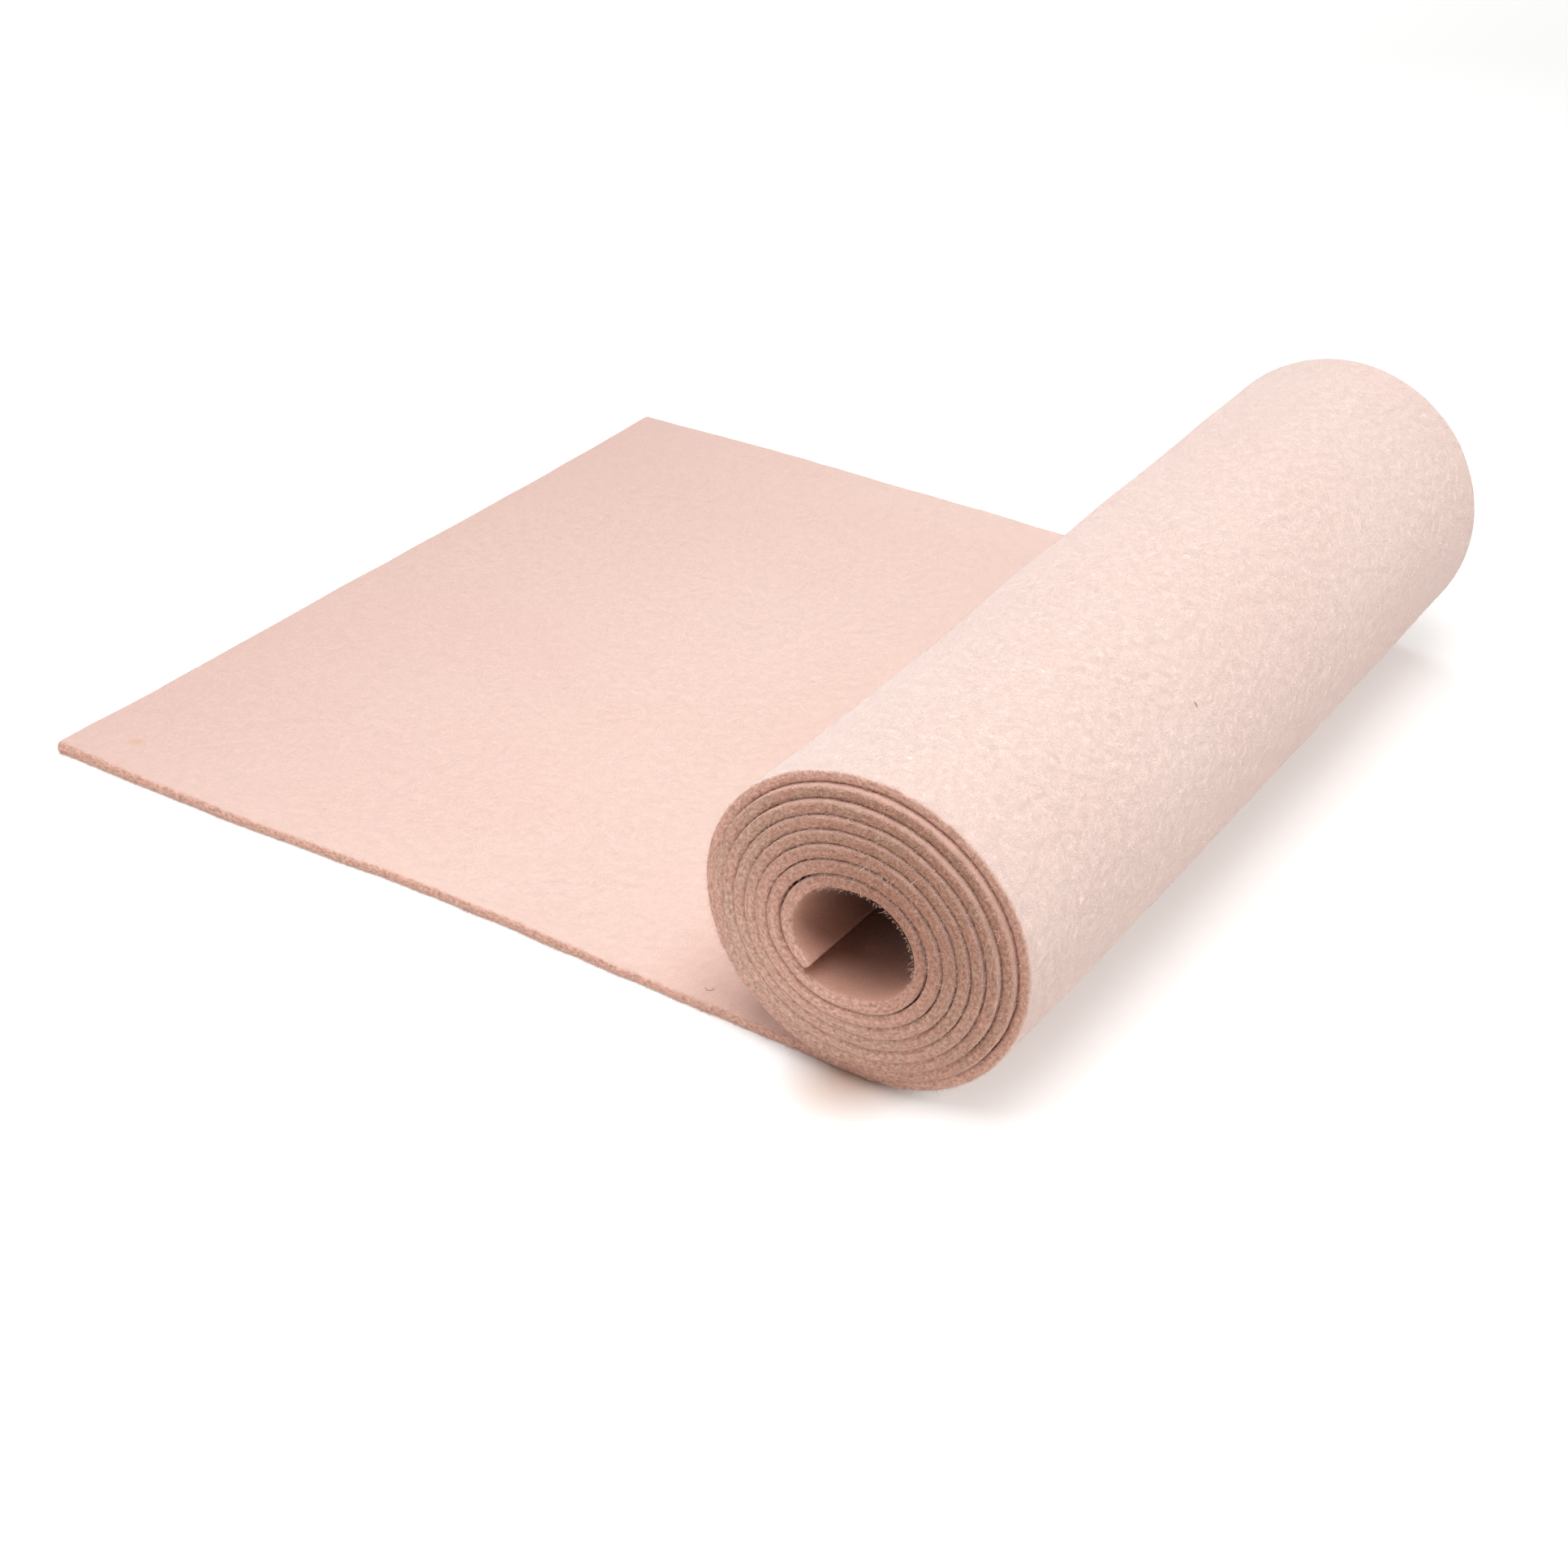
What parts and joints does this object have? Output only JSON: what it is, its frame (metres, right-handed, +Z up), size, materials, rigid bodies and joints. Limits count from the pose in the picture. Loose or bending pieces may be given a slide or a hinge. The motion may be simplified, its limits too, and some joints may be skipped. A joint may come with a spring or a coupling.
{
  "type": "roll of felt",
  "caption": "Thick felt sheet wound into a loose roll, with its free end laid out flat on the surface it rests on.",
  "frame": {"origin": "centre of the bounding box at the surface that the roll rests on", "axes": "+X from the sheet's free end towards the roll, +Y along the roll from the end face that shows to the far one, +Z up"},
  "size_m": [0.3188, 0.3098, 0.0899],
  "materials": {
    "felt": "matt blush-pink wool felt, dense fibres with a fine raised nap, cut edges a little darker"
  },
  "bodies": {
    "root": {"felt_roll": "felt"}
  },
  "joints": []
}
